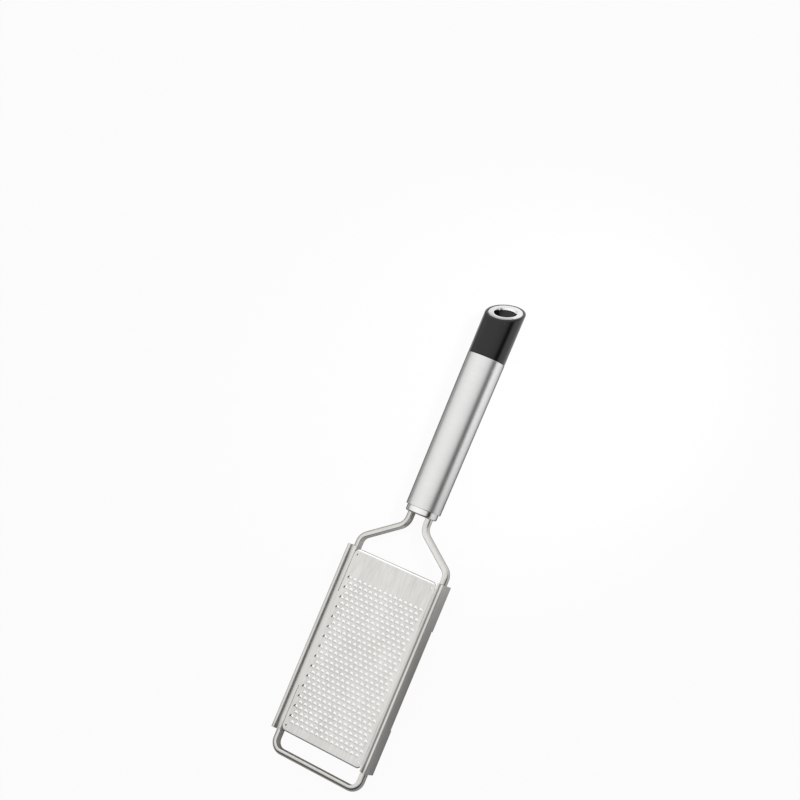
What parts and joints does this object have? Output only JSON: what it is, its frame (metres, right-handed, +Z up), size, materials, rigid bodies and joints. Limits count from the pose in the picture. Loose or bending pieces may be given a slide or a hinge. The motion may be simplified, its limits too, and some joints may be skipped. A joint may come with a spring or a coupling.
{
  "type": "fine grater",
  "caption": "Flat hand grater: perforated steel plate with fine teeth in folded side rails, on a bent bar frame with a round steel handle and a slanted plastic end cap.",
  "frame": {"origin": "on the table under the middle of the box around the grater, as it lies on the lower ends of its side rails and on the front end of its handle tube", "axes": "+X across the grater to its right seen from above with the handle away, +Y from the loop to the end cap, +Z up from the table; the grating face looks up and is tilted by under three degrees"},
  "size_m": [0.0756, 0.3296, 0.0307],
  "materials": {
    "plate_steel": "brushed along the length",
    "rail_steel": "satin",
    "bar_steel": "satin",
    "handle_steel": "finely brushed",
    "polished_steel": "polished",
    "black_plastic": "matt",
    "core_plastic": "as moulded"
  },
  "bodies": {
    "root": {"grating_plate": "plate_steel", "left_side_rail": "rail_steel", "right_side_rail": "rail_steel", "frame_bar": "bar_steel", "front_ferrule": "polished_steel", "handle_tube": "handle_steel", "handle_core": "core_plastic", "leg_lock_pin": "bar_steel", "end_cap": "black_plastic", "eyelet_ring": "polished_steel"}
  },
  "joints": []
}
